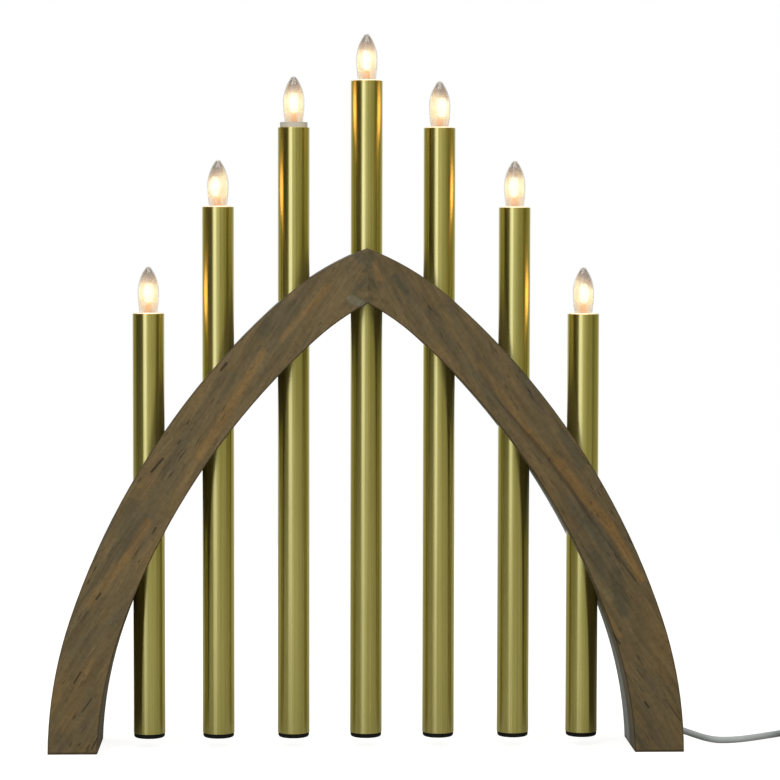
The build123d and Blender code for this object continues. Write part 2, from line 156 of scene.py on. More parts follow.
print("a sum or a ramp takes one line")

# %% Shorten mixes, noise and places


def mix_colours(tree, amount, first, second, blend="MIX"):
    """The output of a colour mix."""
    made = add_node(tree, "ShaderNodeMix", data_type="RGBA", blend_type=blend)
    for socket, value in ((0, amount), (6, first), (7, second)):
        if isinstance(value, bpy.types.NodeSocket):
            tree.links.new(value, made.inputs[socket])
        else:
            made.inputs[socket].default_value = value if socket == 0 else (*value, 1.0)
    return made.outputs[2]


def noise(tree, place, scale, detail=3.0, roughness=0.5):
    """The grey output of a noise texture."""
    feeds = {"Vector": place, "Scale": scale, "Detail": detail, "Roughness": roughness}
    return add_node(tree, "ShaderNodeTexNoise", feeds).outputs["Fac"]


def grey(level):
    """A neutral colour."""
    return (level, level, level)


def object_place(tree):
    """The place in the piece itself, in metres."""
    return add_node(tree, "ShaderNodeTexCoord").outputs["Object"]


print("a middle grey is", grey(0.5))

# %% [markdown]
# ## The mains cord
# A two-core lead leaves a bush in the right foot, drops to the table and runs out of the
# picture. Its spare length is put away in a coil just outside the view. One smooth spline is
# right for all of it, because a lead has no corners. The route repeats the frame's own: both
# ends are given points, and the coil is worked out from its radius, pitch and rise.

# %% Draw the cord's route
cord_diameter = 0.005
cord_exit = (0.2372, 0.0031, 0.0116)
floor_run = [
    cord_exit,
    (0.245284, 0.0031, 0.008973),
    (0.2536, 0.0024, 0.0061),
    (0.2620, 0.0013, 0.0037),
    (0.2702, 0.0007, 0.0026),
    (0.2786, 0.0013, 0.0025),
    (0.2866, 0.0039, 0.0025),
    (0.2955, 0.0092, 0.0025),
    (0.3075, 0.0176, 0.0025),
    (0.3205, 0.0274, 0.0025),
    (0.33323, 0.0373, 0.0025),
    (0.34232, 0.042551, 0.0025),
]
plug_run = [
    (0.35098, 0.047551, 0.0193),
    (0.3602, 0.052874, 0.0193),
    (0.3718, 0.0579, 0.0173),
    (0.3842, 0.0599, 0.0136),
    (0.3962, 0.0576, 0.0101),
    (0.4064, 0.0507, 0.0076),
    (0.4132, 0.0408, 0.0069),
    (0.4167, 0.0296, 0.0069),
]
print("route points by hand:", len(floor_run) + len(plug_run))

# %% Wind the put-away coil
coil_centre = Vector((0.364, 0.015, cord_diameter / 2))
coil_radius = 0.0347
coil_pitch = 0.0056
coil_rise = 0.0056
coil_start = math.radians(120)
coil_layers = 4
quarters_per_layer = 9
quarters_per_turn = 4
points_per_quarter = 4


def coil_point(quarter):
    """A point on the coil after so many quarter turns: in, up a layer, out, up, and so on."""
    layer = min(int(quarter / quarters_per_layer), coil_layers - 1)
    step = quarter - layer * quarters_per_layer
    depth = step if layer % 2 == 0 else quarters_per_layer - step
    level = layer
    for reversal in range(1, coil_layers):
        offset = quarter - reversal * quarters_per_layer
        if abs(offset) < 1:
            level = reversal - 0.5 + 0.5 * math.sin(offset * math.pi / 2)
    radius = coil_radius - coil_pitch * depth / quarters_per_turn
    angle = coil_start - quarter * 2 * math.pi / quarters_per_turn
    outward = Vector((math.cos(angle), math.sin(angle), 0))
    return coil_centre + radius * outward + Vector((0, 0, coil_rise * level))


coil_steps = coil_layers * quarters_per_layer * points_per_quarter
coil_run = [coil_point(step / points_per_quarter) for step in range(coil_steps + 1)]
print("coil points:", len(coil_run))

# %% Make the cord from its route
cord_curve = bpy.data.curves.new("mains_flex", "CURVE")
cord_curve.dimensions = "3D"
# A curve's box counts the radius of its points, so they carry the cord's real radius.
cord_curve.bevel_depth = 1.0
cord_curve.bevel_resolution = 6
cord_curve.resolution_u = 8
cord_line = cord_curve.splines.new("NURBS")
cord_route = [*floor_run, *coil_run, *plug_run]
cord_line.points.add(len(cord_route) - 1)
for control, place in zip(cord_line.points, cord_route):
    control.co = (*place, 1.0)
    control.radius = cord_diameter / 2
cord_line.order_u = 3
cord_line.use_endpoint_u = True
mains_flex = bpy.data.objects.new("mains_flex", cord_curve)
bpy.context.scene.collection.objects.link(mains_flex)
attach(mains_flex, "arch")
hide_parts("mains_cord", "cord_coil")
print("cord route has", len(cord_route), "points")

# %% [markdown]
# ## The studio
# A plain pale floor and soft light from all round. Polished metal needs something to mirror, so
# the world is not one flat grey: to mirrored rays its brightness changes with direction. A
# bright stretch at the left front draws the long bright line down each tube, and the dark
# stretch beside it draws the brown line next to it. The camera sees pure white behind the arch.

# %% Lay the floor
floor_half = 1.4

floor_mesh = bpy.data.meshes.new("studio_floor")
floor_form = bmesh.new()
bmesh.ops.create_grid(floor_form, x_segments=8, y_segments=8, size=floor_half)
floor_form.to_mesh(floor_mesh)
floor_form.free()
studio_floor = bpy.data.objects.new("studio_floor", floor_mesh)
bpy.context.scene.collection.objects.link(studio_floor)
studio_floor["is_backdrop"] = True
print("floor", 2 * floor_half, "m square")

# %% [markdown]
# The floor has two jobs. The camera has to see it white, yet it should not throw that much light
# up at the arch. The Light Path node tells the rays apart: only rays from the camera or through
# glass meet a bright floor, mirrored rays meet a weak warm one, and all others meet plain paper.

# %% Colour the floor
paper_colour = (0.32, 0.31, 0.27, 1.0)
paper_glow = 0.84
mirrored_share = 0.12
mirrored_tint = (1.0, 0.92, 0.55)

floor_finish, floor_tree, floor_shader = new_finish("floor_paper")
floor_shader.inputs["Base Color"].default_value = paper_colour
floor_shader.inputs["Roughness"].default_value = 0.9
floor_shader.inputs["Specular IOR Level"].default_value = 0.1
floor_rays = add_node(floor_tree, "ShaderNodeLightPath").outputs
floor_seen = sums(floor_tree, "MAXIMUM", floor_rays["Is Camera Ray"],
                  floor_rays["Is Transmission Ray"])
floor_mirrored = sums(floor_tree, "MULTIPLY", floor_rays["Is Glossy Ray"], mirrored_share)
floor_colour = mix_colours(floor_tree, floor_rays["Is Glossy Ray"], grey(1.0), mirrored_tint)
floor_tree.links.new(floor_colour, floor_shader.inputs["Emission Color"])
floor_level = sums(floor_tree, "MAXIMUM", floor_seen, floor_mirrored)
floor_level = sums(floor_tree, "MULTIPLY", floor_level, paper_glow)
floor_tree.links.new(floor_level, floor_shader.inputs["Emission Strength"])
floor_mesh.materials.append(floor_finish)
print("mixed", floor_finish.name)

# %% [markdown]
# The room is drawn from the direction of each ray. Its angle round the arch picks a level from a
# ring of levels, and the ring's colours go from white to brown as the level falls. Only mirrored
# rays meet that ring. Soft light from all round meets one plain grey, so the wood stays even.

# %% Measure the angle round the arch
world = bpy.data.worlds.new("studio_world")
bpy.context.scene.world = world
world.use_nodes = True
sky = world.node_tree
sky.nodes.clear()
direction = add_node(sky, "ShaderNodeTexCoord").outputs["Generated"]
split = add_node(sky, "ShaderNodeSeparateXYZ", {0: direction})
to_front = sums(sky, "MULTIPLY", split.outputs["Y"], -1.0)
round_way = sums(sky, "ARCTAN2", split.outputs["X"], to_front)
round_share = sums(sky, "ADD", sums(sky, "DIVIDE", round_way, 2 * math.pi), 0.5)
print("angles run from behind, over the left, the front and the right, to behind")

# %% Light the room by direction
plain_level = 0.62


def room_light(level):
    """The dimmer the room is in some direction, the browner it is there."""
    return (level, level * min(1.0, 0.84 + 0.25 * level), level * min(1.25, 0.02 + 1.2 * level))


# Degrees round from the camera's side, positive to the right, with the brightness there.
studio_ring = [
    (-180, 1.0), (-160, 0.9), (-130, 0.40), (-104, 0.22), (-84, 0.03), (-50, 0.03), (-43, 0.07),
    (-39, 0.50), (-35, 1.55), (-17, 1.80), (-11, 0.82), (0, 0.66), (17, 0.42), (35, 0.32),
    (55, 0.34), (72, 0.12), (92, 0.26), (112, 0.36), (130, 0.45), (160, 0.9), (180, 1.0),
]
ring_stops = [((degrees + 180) / 360, room_light(level)) for degrees, level in studio_ring]
ring_light = ramp(sky, round_share, ring_stops)
rays = add_node(sky, "ShaderNodeLightPath").outputs
plain_light = mix_colours(sky, rays["Is Glossy Ray"], grey(plain_level), ring_light)
clear_view = sums(sky, "MAXIMUM", rays["Is Camera Ray"], rays["Is Transmission Ray"])
sky_colour = mix_colours(sky, clear_view, plain_light, grey(1.0))
backdrop = add_node(sky, "ShaderNodeBackground", {"Color": sky_colour, "Strength": 1.0})
add_node(sky, "ShaderNodeOutputWorld", {"Surface": backdrop.outputs[0]})
print("ring of light with", len(studio_ring), "levels")

# %% [markdown]
# The room alone gives the wood hardly any modelling. Three soft panels add a little: one at the
# left front, a weaker one at the right front and one overhead. Metal and glass mirror only the
# one overhead, because the ring above already draws every line in the tubes.

# %% Hang the soft panels


def soft_panel(name, place, target, width, height, watts, mirrored=False):
    """A soft light that faces a target; metal and glass show it only if mirrored is set."""
    panel_data = bpy.data.lights.new(name, "AREA")
    panel_data.shape = "RECTANGLE"
    panel_data.size = width
    panel_data.size_y = height
    panel_data.energy = watts
    panel = bpy.data.objects.new(name, panel_data)
    facing = (Vector(target) - Vector(place)).to_track_quat("-Z", "Y")
    panel.matrix_world = Matrix.Translation(place) @ facing.to_matrix().to_4x4()
    panel.visible_camera = False
    panel.visible_glossy = mirrored
    panel.visible_transmission = mirrored
    bpy.context.scene.collection.objects.link(panel)
    print(name, watts, "W")


arch_middle = (0.0, 0.0, 0.28)
left_front, right_front, above = (-0.85, -1.45, 0.55), (1.5, -1.5, 0.9), (0.0, -0.3, 1.9)
soft_panel("left_strip", left_front, arch_middle, width=0.42, height=1.7, watts=16)
soft_panel("right_fill", right_front, arch_middle, width=1.2, height=1.4, watts=14)
soft_panel("overhead", above, arch_middle, width=1.6, height=1.2, watts=16, mirrored=True)

# %% [markdown]
# ## Brushed brass
# The tubes are lacquered brass. Fine turning marks run round each tube, so it mirrors sharply
# round its girth and blurs along its length: every reflection is drawn out into a long
# vertical line. Blender calls that anisotropy, and it needs a tangent, the direction of the
# marks. Faint streaks along the tube break the reflections as the real lacquer does.

# %% Mix the brass
brass_tones = [(0.3, (0.58, 0.540, 0.205)), (0.7, (0.62, 0.578, 0.226))]
lacquer_streaks = [(0.35, (0.60, 0.56, 0.36)), (0.65, grey(1.1))]
streak_strength = 0.42
brass_roughness = {"To Min": 0.24, "To Max": 0.34}
drawn_share = 0.97


def brushed_brass():
    """Lacquered brass, drawn out along the tube."""
    finish, tree, shader = new_finish("brushed_brass")
    place = object_place(tree)
    feeds = {"Vector": place, "Scale": (900, 900, 3)}
    long_place = add_node(tree, "ShaderNodeMapping", feeds).outputs["Vector"]
    streaks = noise(tree, long_place, 1.0, detail=2.0)
    tone = ramp(tree, noise(tree, place, 14.0, detail=2.0), brass_tones)
    lacquer = ramp(tree, streaks, lacquer_streaks)
    tone = mix_colours(tree, streak_strength, tone, lacquer, "MULTIPLY")
    tree.links.new(tone, shader.inputs["Base Color"])
    rough = add_node(tree, "ShaderNodeMapRange", {"Value": streaks, **brass_roughness})
    tree.links.new(rough.outputs[0], shader.inputs["Roughness"])
    shader.inputs["Metallic"].default_value = 1.0
    shader.inputs["Anisotropic"].default_value = drawn_share
    # A quarter turn lays the blur across the marks, along the tube.
    shader.inputs["Anisotropic Rotation"].default_value = 0.25
    marks = add_node(tree, "ShaderNodeTangent", direction_type="RADIAL", axis="Z")
    tree.links.new(marks.outputs[0], shader.inputs["Tangent"])
    return finish


brass_finish = brushed_brass()
print("mixed", brass_finish.name)

# %% [markdown]
# ## A lathe for round pieces
# Tubes, lamps and threads are round, so they are turned: a profile of radius and height goes
# round an upright axis. Turning in code gives as many facets as a close view needs.

# %% Put a finished form in the scene


def smooth_piece(name, form):
    """A smooth mesh object in the scene from a finished form."""
    mesh = bpy.data.meshes.new(name)
    form.to_mesh(mesh)
    form.free()
    mesh.shade_smooth()
    piece = bpy.data.objects.new(name, mesh)
    bpy.context.scene.collection.objects.link(piece)
    return piece


print("a form becomes a smooth piece")

# %% Turn a profile
axis_reach = 1e-7


def turned(name, across, profile, segments=96, closed=True):
    """A smooth mesh object: the (radius, height) profile turned about the tube's axis."""
    form = bmesh.new()
    rings = []
    for radius, height in profile:
        if radius < axis_reach:
            rings.append([form.verts.new((across, 0, height))])
            continue
        rings.append([
            form.verts.new((across + radius * math.cos(turn), radius * math.sin(turn), height))
            for turn in (2 * math.pi * step / segments for step in range(segments))
        ])
    pairs = list(zip(rings, rings[1:]))
    if closed:
        pairs.append((rings[-1], rings[0]))
    for ring, above in pairs:
        for step in range(segments):
            corners = [ring[step % len(ring)], ring[(step + 1) % len(ring)],
                       above[(step + 1) % len(above)], above[step % len(above)]]
            unique = list(dict.fromkeys(corners))
            if len(unique) > 2:
                form.faces.new(unique)
    bmesh.ops.recalc_face_normals(form, faces=form.faces)
    return smooth_piece(name, form)


print("anything within", axis_reach, "m of the axis is a single point")

# %% [markdown]
# A tube is a wall of one millimetre, cut square. Its edges are softly broken, as a real saw cut
# is after polishing, and that catches a thin line of light round the rim.

# %% Trace the tube's wall
tube_wall = 0.001
tube_edge = 0.00025


def rounded_corner(radius, height, bend, start, steps=4):
    """Profile points round an edge, whose arc's centre is given; start is in degrees."""
    turns = [math.radians(start + 90 * step / steps) for step in range(steps + 1)]
    return [(radius + bend * math.cos(turn), height + bend * math.sin(turn)) for turn in turns]


def tube_profile(outer, low, high):
    """The tube's wall with softly broken edges."""
    inner = outer - tube_wall
    return [
        *rounded_corner(outer - tube_edge, low + tube_edge, tube_edge, -90),
        *rounded_corner(outer - tube_edge, high - tube_edge, tube_edge, 0),
        *rounded_corner(inner + tube_edge, high - tube_edge, tube_edge, 90),
        *rounded_corner(inner + tube_edge, low + tube_edge, tube_edge, 180),
    ]


print("tube wall", tube_wall / millimetre, "mm, edges broken by", tube_edge / millimetre, "mm")

# %% Turn the seven brass tubes
brass_tubes = []
for number in lamp_numbers:
    low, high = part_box(f"candle_tube_{number}")
    across = (low.x + high.x) / 2
    tube = turned(f"brass_tube_{number}", across, tube_profile((high.x - low.x) / 2, low.z, high.z))
    tube.data.materials.append(brass_finish)
    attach(tube, "arch")
    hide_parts(f"candle_tube_{number}")
    brass_tubes.append(tube)
    print(tube.name, round((high.z - low.z) / millimetre, 1), "mm long")

# %% [markdown]
# ## Stained wood
# The arch is softwood under a brown-grey stain. Stain sinks unevenly: it goes warm brown in
# some patches and grey-green in others, darkens the soft spring wood between the harder lines,
# and stays in the pores as short dark flecks. The boards are cut straight out of planks, so the
# grain runs along each half's chord and the curve of the arch cuts across it. A bitmap would
# repeat or stretch, so the grain is made of noise that is drawn out along the plank.

# %% Describe a plank's grain
grain_angle = math.radians(57)
grain_wander = 0.009
# How far each pattern reaches along the grain and across it, in metres.
patch_reach = (0.085, 0.019)
line_reach = (0.060, 0.0042)
fibre_reach = (0.020, 0.0012)
pore_reach = (0.0135, 0.0012)
crowd_reach = (0.05, 0.03)


def plank_place(tree, leaning, shift):
    """Places in the wood, turned so that X runs along the grain, with a slow wander."""
    turn = (0, leaning * grain_angle, 0)
    feeds = {"Vector": object_place(tree), "Rotation": turn, "Location": shift}
    along_grain = add_node(tree, "ShaderNodeMapping", feeds, vector_type="TEXTURE").outputs[0]
    feeds = {"Vector": along_grain, "Scale": 14.0, "Detail": 1.0}
    drift = add_node(tree, "ShaderNodeTexNoise", feeds).outputs["Color"]
    feeds = {0: drift, 1: (grain_wander, grain_wander, grain_wander), 2: along_grain}
    return add_node(tree, "ShaderNodeVectorMath", feeds, operation="MULTIPLY_ADD").outputs[0]


def grain_noise(tree, place, reach, detail=3.0, roughness=0.5):
    """Noise drawn out along the grain, by a pattern's reach along and across it."""
    along, across = reach
    feeds = {"Vector": place, "Scale": (along, across, across)}
    drawn_out = add_node(tree, "ShaderNodeMapping", feeds, vector_type="TEXTURE").outputs[0]
    return noise(tree, drawn_out, 1.0, detail, roughness)


print("grain leans", round(math.degrees(grain_angle)), "degrees")

# %% [markdown]
# Noise alone gives a good plank but not this plank. The photograph shows a few marks that
# catch the eye: long orange streaks, slate patches beside them and short dark cracks. They are
# laid over the noise one by one. Each is a soft line between two points of the arch's face,
# given in millimetres across and up, and noise frays its edge.

# %% Draw one mark


def streak_cover(tree, flat_place, ragged, start, end, half_width):
    """How much a streak between two points of the arch's face covers, with a ragged edge."""
    start = Vector((start[0], 0, start[1])) * millimetre
    run = Vector((end[0], 0, end[1])) * millimetre - start
    way = run.normalized()
    feeds = {0: flat_place, 1: start}
    away = add_node(tree, "ShaderNodeVectorMath", feeds, operation="SUBTRACT").outputs[0]
    feeds = {0: away, 1: way}
    along = add_node(tree, "ShaderNodeVectorMath", feeds, operation="DOT_PRODUCT").outputs["Value"]
    along = add_node(tree, "ShaderNodeClamp", {"Value": along, "Max": run.length}).outputs[0]
    feeds = {0: way, "Scale": along}
    nearest = add_node(tree, "ShaderNodeVectorMath", feeds, operation="SCALE").outputs[0]
    feeds = {0: away, 1: nearest}
    reach = add_node(tree, "ShaderNodeVectorMath", feeds, operation="DISTANCE").outputs["Value"]
    edge = sums(tree, "ADD", sums(tree, "DIVIDE", reach, half_width * millimetre), ragged)
    return ramp(tree, edge, [(0.35, grey(1.0)), (1.0, grey(0.0))], smooth=True)


print("a mark is fully covered up to about a third of its half width")

# %% Name the stains of the marks
warm_stain = (0.190, 0.108, 0.033)
pale_stain = (0.150, 0.118, 0.055)
ash_stain = (0.140, 0.128, 0.084)
slate_stain = (0.068, 0.058, 0.033)
# The darkest stain also darkens the rounded edges and paints the contact shadow at the floor.
crack_and_shadow_dark = (0.026, 0.018, 0.009)
print("brightest mark", warm_stain, "and darkest", crack_and_shadow_dark)

# %% Note the marks at the apex
# Each mark's start, end and half width in millimetres, its stain and how much of it covers.
apex_marks = [
    ((-7, 373), (0, 368), 6.5, slate_stain, 0.7),
    ((5, 367), (9, 356), 3.5, warm_stain, 0.45),
    ((-13, 341), (-5, 337), 4.2, ash_stain, 0.65),
    ((-2, 354), (-10, 347), 2.4, slate_stain, 0.7),
    ((20, 357), (29, 346), 3.6, slate_stain, 0.9),
]
print("marks at the apex:", len(apex_marks))

# %% Note the marks on the left half
left_marks = [
    ((-30, 350), (-64, 311), 3.6, warm_stain, 0.40),
    ((-78, 300), (-125, 224), 5.0, warm_stain, 0.45),
    ((-163, 174), (-180, 147), 4.6, warm_stain, 0.45),
    ((-180, 147), (-208, 113), 5.0, warm_stain, 0.38),
    ((-145, 237), (-155, 226), 0.9, pale_stain, 0.60),
    ((-206, 70), (-226, 20), 6.0, warm_stain, 0.22),
    ((-60, 338), (-76, 318), 8.0, slate_stain, 0.60),
    ((-104, 282), (-150, 214), 8.0, slate_stain, 0.45),
    ((-174, 185), (-189, 151), 8.0, slate_stain, 0.50),
    ((-189, 179), (-204, 147), 3.4, slate_stain, 0.70),
    ((-105, 293), (-109, 288), 1.4, crack_and_shadow_dark, 0.9),
    ((-152, 222), (-161, 212), 0.9, crack_and_shadow_dark, 0.9),
    ((-158, 170), (-160, 166), 1.2, crack_and_shadow_dark, 0.6),
    ((-199, 121), (-202, 117), 1.1, crack_and_shadow_dark, 0.8),
    ((-214, 62), (-219, 54), 0.9, crack_and_shadow_dark, 0.8),
    ((-206, 42), (-213, 32), 0.8, crack_and_shadow_dark, 0.8),
    ((-202, 12), (-206, 4), 0.9, crack_and_shadow_dark, 0.8),
]
print("marks on the left half:", len(left_marks))

# %% Note the marks on the right half
right_marks = [
    ((84, 291), (120, 243), 4.0, warm_stain, 0.40),
    ((120, 243), (143, 218), 4.5, warm_stain, 0.45),
    ((143, 218), (182, 170), 5.5, warm_stain, 0.65),
    ((182, 170), (206, 131), 4.6, warm_stain, 0.75),
    ((153, 156), (182, 117), 4.4, pale_stain, 0.55),
    ((170, 120), (190, 88), 2.6, warm_stain, 0.40),
    ((86, 278), (136, 221), 1.6, crack_and_shadow_dark, 0.45),
    ((136, 221), (182, 156), 1.9, crack_and_shadow_dark, 0.45),
    ((182, 156), (201, 130), 1.4, crack_and_shadow_dark, 0.45),
    ((187, 137), (192, 106), 7.0, slate_stain, 0.75),
    ((146, 240), (160, 216), 6.0, slate_stain, 0.60),
    ((46, 330), (96, 262), 6.5, slate_stain, 0.55),
    ((176, 102), (190, 82), 0.9, crack_and_shadow_dark, 0.8),
    ((209, 38), (212, 34), 1.1, crack_and_shadow_dark, 0.9),
    ((224, 40), (236, 24), 0.7, crack_and_shadow_dark, 0.6),
]
print("marks on the right half:", len(right_marks))

# %% Gather the wood's patterns


def wood_patterns(tree, leaning, shift):
    """The noises that the stain follows, by name."""
    place = plank_place(tree, leaning, shift)
    return {
        "patches": grain_noise(tree, place, patch_reach, roughness=0.55),
        "lines": grain_noise(tree, place, line_reach, roughness=0.6),
        "fibres": grain_noise(tree, place, fibre_reach, roughness=0.65),
        "mottle": noise(tree, place, 330.0, roughness=0.6),
        "pores": grain_noise(tree, place, pore_reach, detail=1.0, roughness=0.4),
        "crowd": grain_noise(tree, place, crowd_reach, detail=1.0),
    }


print("growth lines are", round(line_reach[0] / millimetre), "mm long")

# %% Stain the open wood
apex_filler = 0.024
patch_stains = [
    (0.32, (0.086, 0.069, 0.038)), (0.46, (0.108, 0.079, 0.037)),
    (0.58, (0.122, 0.085, 0.037)), (0.72, (0.142, 0.093, 0.036)),
]
filler_stains = [
    (0.35, (0.066, 0.055, 0.029)), (0.5, (0.100, 0.074, 0.033)), (0.65, (0.132, 0.096, 0.046)),
]


def open_stain(tree, patterns, marks):
    """The stain on a board's face: patches, the filled seam at the apex, and the marks."""
    stain = ramp(tree, patterns["patches"], patch_stains)
    ragged = sums(tree, "MULTIPLY", sums(tree, "SUBTRACT", patterns["lines"], 0.5), 1.5)
    feeds = {"Vector": object_place(tree), "Scale": 75.0, "Distortion": 1.2}
    filler = add_node(tree, "ShaderNodeTexNoise", feeds).outputs["Fac"]
    on_face = add_node(tree, "ShaderNodeSeparateXYZ", {0: object_place(tree)}).outputs
    off_seam = sums(tree, "ABSOLUTE", on_face["X"])
    seam = sums(tree, "ADD", sums(tree, "DIVIDE", off_seam, apex_filler), ragged)
    seam_cover = ramp(tree, seam, [(0.1, grey(0.9)), (1.0, grey(0.0))])
    stain = mix_colours(tree, seam_cover, stain, ramp(tree, filler, filler_stains))
    feeds = {0: object_place(tree), 1: (1.0, 0.0, 1.0)}
    flat_place = add_node(tree, "ShaderNodeVectorMath", feeds, operation="MULTIPLY").outputs[0]
    for start, end, half_width, colour, strength in marks:
        cover = streak_cover(tree, flat_place, ragged, start, end, half_width)
        stain = mix_colours(tree, sums(tree, "MULTIPLY", cover, strength), stain, colour)
    return stain


print("stains for the patches:", len(patch_stains))

# %% [markdown]
# A board is not the same on all sides. The sawn cuts take the stain in another way than the
# face, and in the photograph the inner cuts differ from board to board. The front right board's
# inner cut is a lighter copy of the brown cut, with painted light. Stain gathers in the pores,
# the softened edges are made darker, and a painted contact shadow darkens the wood just above
# the floor. Which side a point is on comes from the direction that its surface faces, so one
# finish does for the whole board.

# %% Stain the sawn cuts
outer_cut = (0.086, 0.069, 0.040)


def cut_stain(tree, stain, sideways, leaning, inner_cut):
    """The stain with that of the sawn cuts on the inner and the outer side of the arch."""
    facing = add_node(tree, "ShaderNodeNewGeometry").outputs["True Normal"]
    across = add_node(tree, "ShaderNodeSeparateXYZ", {0: facing}).outputs["X"]
    inward = sums(tree, "LESS_THAN", sums(tree, "MULTIPLY", across, leaning), 0.0)
    edge_stain = mix_colours(tree, inward, outer_cut, inner_cut)
    cut_face = ramp(tree, sideways, [(0.1, grey(0.85)), (0.3, grey(0.0))])
    return mix_colours(tree, cut_face, stain, edge_stain)


print("the outer cuts are stained", outer_cut)

# %% Darken the grain and the edges, and paint the shadow at the foot
# How high above the floor the painted contact shadow reaches.
painted_shadow_height = 0.004
# Each pattern's name and strength, and how dark and how light it makes the stain.
grain_tones = [
    ("lines", 0.62, 0.64, 1.30), ("fibres", 0.36, 0.66, 1.32), ("mottle", 0.42, 0.70, 1.26),
]


def grained_stain(tree, patterns, stain):
    """The stain with the grain's light and dark."""
    for name, strength, dark, light in grain_tones:
        tone = ramp(tree, patterns[name], [(0.30, grey(dark)), (0.70, grey(light))])
        stain = mix_colours(tree, strength, stain, tone, "MULTIPLY")
    return stain


def flecks_edges_and_painted_shadow(tree, patterns, stain, sideways):
    """The stain with dark flecks in the pores, darker rounded edges and a painted contact shadow at
    the floor.
    """
    gathered = ramp(tree, patterns["crowd"], [(0.45, grey(0.0)), (0.60, grey(0.06))])
    pores = sums(tree, "SUBTRACT", patterns["pores"], gathered)
    fleck = ramp(tree, pores, [(0.22, grey(0.8)), (0.28, grey(0.0))])
    # The rounded edges between face and cut are made darker.
    arris = ramp(tree, sideways, [
        (0.3, grey(0.0)), (0.6, grey(0.5)), (0.8, grey(0.5)), (0.95, grey(0.0)),
    ])
    # Painted contact shadow: the wood darkens towards the floor.
    height = add_node(tree, "ShaderNodeSeparateXYZ", {0: object_place(tree)}).outputs["Z"]
    above_floor = sums(tree, "DIVIDE", height, painted_shadow_height)
    foot = ramp(tree, above_floor, [(0.2, grey(0.75)), (0.6, grey(0.0))])
    for darkened in (fleck, arris, foot):
        stain = mix_colours(tree, darkened, stain, crack_and_shadow_dark)
    return stain


print("grain tones:", ", ".join(name for name, *tone in grain_tones))

# %% Put a board's finish together


def stained_wood(name, leaning, shift, depth, marks, inner_cut):
    """Stained softwood for one board, with a faint relief along its fibres."""
    finish, tree, shader = new_finish(name)
    patterns = wood_patterns(tree, leaning, shift)
    facing = add_node(tree, "ShaderNodeNewGeometry").outputs["True Normal"]
    facing_depth = add_node(tree, "ShaderNodeSeparateXYZ", {0: facing}).outputs["Y"]
    sideways = sums(tree, "ABSOLUTE", facing_depth)
    stain = open_stain(tree, patterns, marks)
    stain = mix_colours(tree, 1.0, stain, grey(depth), "MULTIPLY")
    stain = cut_stain(tree, stain, sideways, leaning, inner_cut)
    stain = grained_stain(tree, patterns, stain)
    stain = flecks_edges_and_painted_shadow(tree, patterns, stain, sideways)
    tree.links.new(stain, shader.inputs["Base Color"])
    feeds = {"Value": patterns["fibres"], "To Min": 0.52, "To Max": 0.72}
    rough = add_node(tree, "ShaderNodeMapRange", feeds)
    tree.links.new(rough.outputs[0], shader.inputs["Roughness"])
    shader.inputs["Specular IOR Level"].default_value = 0.22
    surface = sums(tree, "MULTIPLY", patterns["lines"], 0.4)
    surface = sums(tree, "ADD", surface, patterns["fibres"])
    feeds = {"Height": surface, "Strength": 0.35, "Distance": 0.0004}
    relief = add_node(tree, "ShaderNodeBump", feeds)
    tree.links.new(relief.outputs[0], shader.inputs["Normal"])
    return finish


print("a board's finish can be mixed")

# %% Stain the four boards


def dress(node, finish):
    """Give a piece of the frame its finish."""
    slots = nodes[node].data.materials
    slots.clear()
    slots.append(finish)


brown_cut = (0.072, 0.058, 0.032)
slate_cut = (0.262, 0.292, 0.296)
# The front right board's inner cut is the brown cut made lighter: painted light.
painted_light_cut = (0.105, 0.088, 0.053)
# The way each board leans, a shift of its pattern, its depth of stain, its marks and its cut.
boards = {
    "arch_front_left": (-1, (0.11, 0.02, 0.31), 1.0, [*left_marks, *apex_marks], brown_cut),
    "arch_front_right": (1, (0.74, 0.33, 0.05), 0.87, [*right_marks, *apex_marks], painted_light_cut),
    "arch_rear_left": (-1, (0.52, 0.47, 0.12), 0.95, [], brown_cut),
    "arch_rear_right": (1, (0.29, 0.61, 0.83), 0.95, [], slate_cut),
}
for node, facts in boards.items():
    dress(node, stained_wood(f"stain_{node}", *facts))
print("stained", len(boards), "boards")

# %% [markdown]
# ## The candle lamps
# Each lamp is a clear, faintly smoky envelope with a glowing core. Seen through the glass, the
# core is white, the glass round it is lit yellow, and the lower part is lit orange by the foot
# of the filament. A thin frosted coat just inside the glass carries that warm light. It is
# strongest in the middle of its height and turns dim and smoky towards the tip.

# %% Trace an envelope from tangent arcs
glass_wall = 0.0005


def arc_to(start, way, end, steps):
    """Points on the arc that leaves start along way and reaches end; start is left out."""
    start, end = Vector(start), Vector(end)
    side = Vector((-way[1], way[0])).normalized()
    chord = end - start
    radius = chord.length_squared / (2 * chord.dot(side))
    centre = start + side * radius
    sweep = 2 * math.atan2(chord.dot(side), chord.dot(Vector(way).normalized()))
    spoke = start - centre
    turns = [sweep * step / steps for step in range(1, steps + 1)]
    return [centre + Matrix.Rotation(turn, 2) @ spoke for turn in turns]


def envelope_line(inset):
    """The envelope's outline, inset from its outer face, from the neck up to the tip."""
    belly = Vector((0.0081 - inset, 0.0155))
    mouth = Vector((0.0068 - inset, 0.0))
    neck = Vector((0.0042 - inset, -0.0044))
    shoulder = Vector((0.0023 - inset * 0.8, 0.0334 - inset * 0.6))
    tip = Vector((0.0, 0.0347 - inset))
    lower = arc_to(belly, (0, -1), mouth, 8)
    bend = (lower[-1] - lower[-2]).normalized()
    under = arc_to(mouth, bend, neck, 6)
    upper = arc_to(belly, (0, 1), shoulder, 18)
    crown = arc_to(tip, (1, 0), shoulder, 4)
    return [*reversed(under), *reversed(lower), belly, *upper, *reversed(crown[:-1]), tip]


